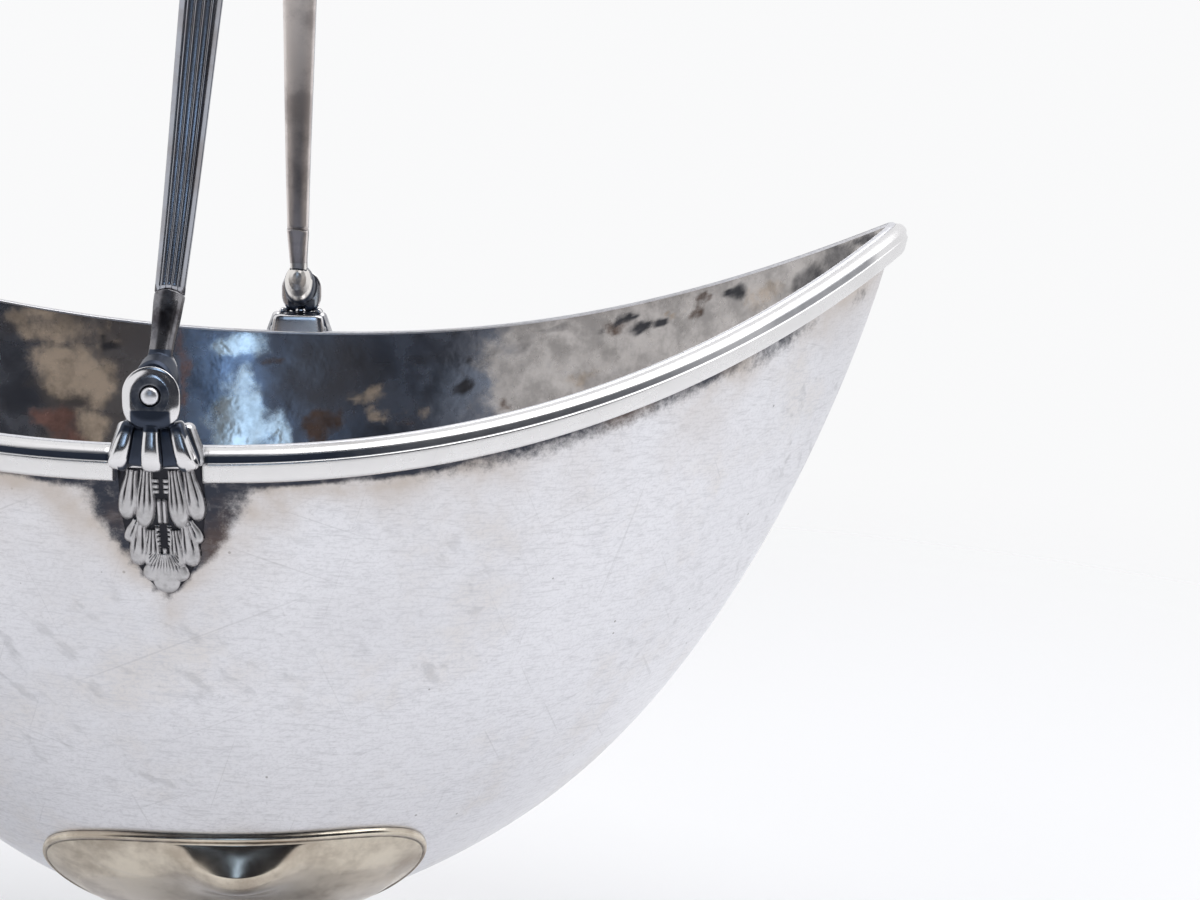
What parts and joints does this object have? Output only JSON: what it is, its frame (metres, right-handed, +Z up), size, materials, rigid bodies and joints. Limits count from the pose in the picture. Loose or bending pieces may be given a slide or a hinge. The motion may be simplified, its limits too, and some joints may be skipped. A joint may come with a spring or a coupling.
{
  "type": "swing-handled silver basket",
  "caption": "Boat-shaped silver basket on an oval pedestal foot, with a moulded rim, leaf-mounted hinges and a reeded arched handle that swings down over either end.",
  "frame": {"origin": "middle of the foot's resting plane", "axes": "+X along the bowl, +Y across it from the front hinge to the back hinge, +Z up"},
  "size_m": [0.1732, 0.104, 0.1838],
  "materials": {
    "satin_silver": "worn satin silver with fine scratches and dark tarnish in the recesses",
    "bright_silver": "polished silver",
    "polished_handle": "polished silver, reeds with darkened grooves",
    "warm_silver": "mirror-polished silver with a warm champagne tone"
  },
  "bodies": {
    "basket": {"bowl": "satin_silver", "rim_moulding_left": "bright_silver", "rim_moulding_right": "bright_silver", "hinge_mount_front": "bright_silver", "hinge_mount_back": "bright_silver", "hinge_leaf_front": "satin_silver", "hinge_leaf_back": "satin_silver", "hinge_pin_front": "bright_silver", "hinge_pin_back": "bright_silver", "foot_calyx": "warm_silver", "foot_pedestal": "satin_silver", "foot_rim": "bright_silver"},
    "handle": {"handle_arch": "polished_handle", "handle_end_front": "polished_handle", "handle_end_back": "polished_handle"}
  },
  "joints": [
    {"name": "handle_swing", "type": "hinge", "parent": "basket", "child": "handle", "pos_m": [0, 0, 0.1027], "axis": [0, 1, 0], "range_deg": [-81, 74]}
  ]
}
